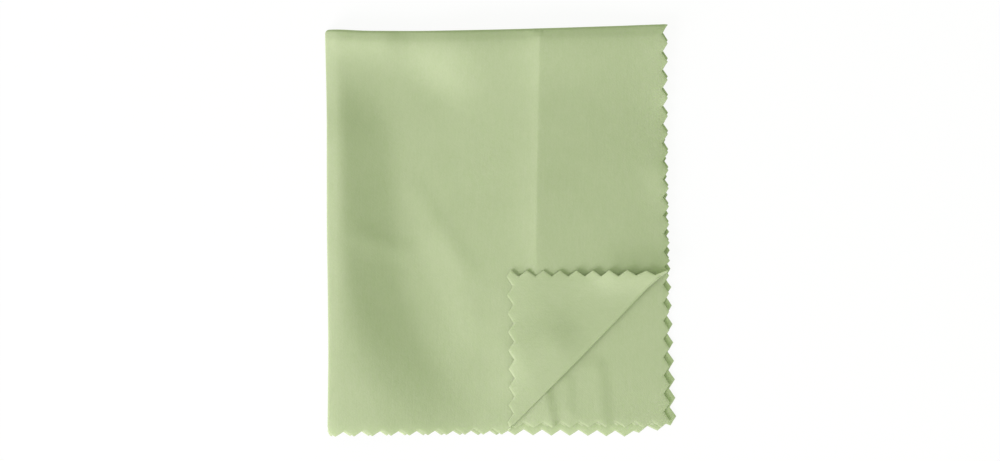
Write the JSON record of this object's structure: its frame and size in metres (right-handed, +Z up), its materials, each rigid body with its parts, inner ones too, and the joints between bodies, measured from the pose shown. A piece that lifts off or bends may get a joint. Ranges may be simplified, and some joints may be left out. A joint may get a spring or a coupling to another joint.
{
  "type": "microfibre cloth",
  "caption": "Thin pale green microfibre lens cloth with pinked edges, folded in quarters, one corner of its top layer turned back.",
  "frame": {"origin": "centre of the folded cloth's footprint, on the surface it lies on", "axes": "+Z up from the surface, +Y along the long side towards the top crease, +X towards the free pinked edge opposite the left crease"},
  "size_m": [0.0772, 0.091, 0.0093],
  "materials": {
    "microfibre": "pale green micro-suede, matt with a short nap and a very fine weave"
  },
  "bodies": {
    "root": {"microfibre_cloth": "microfibre"}
  },
  "joints": []
}
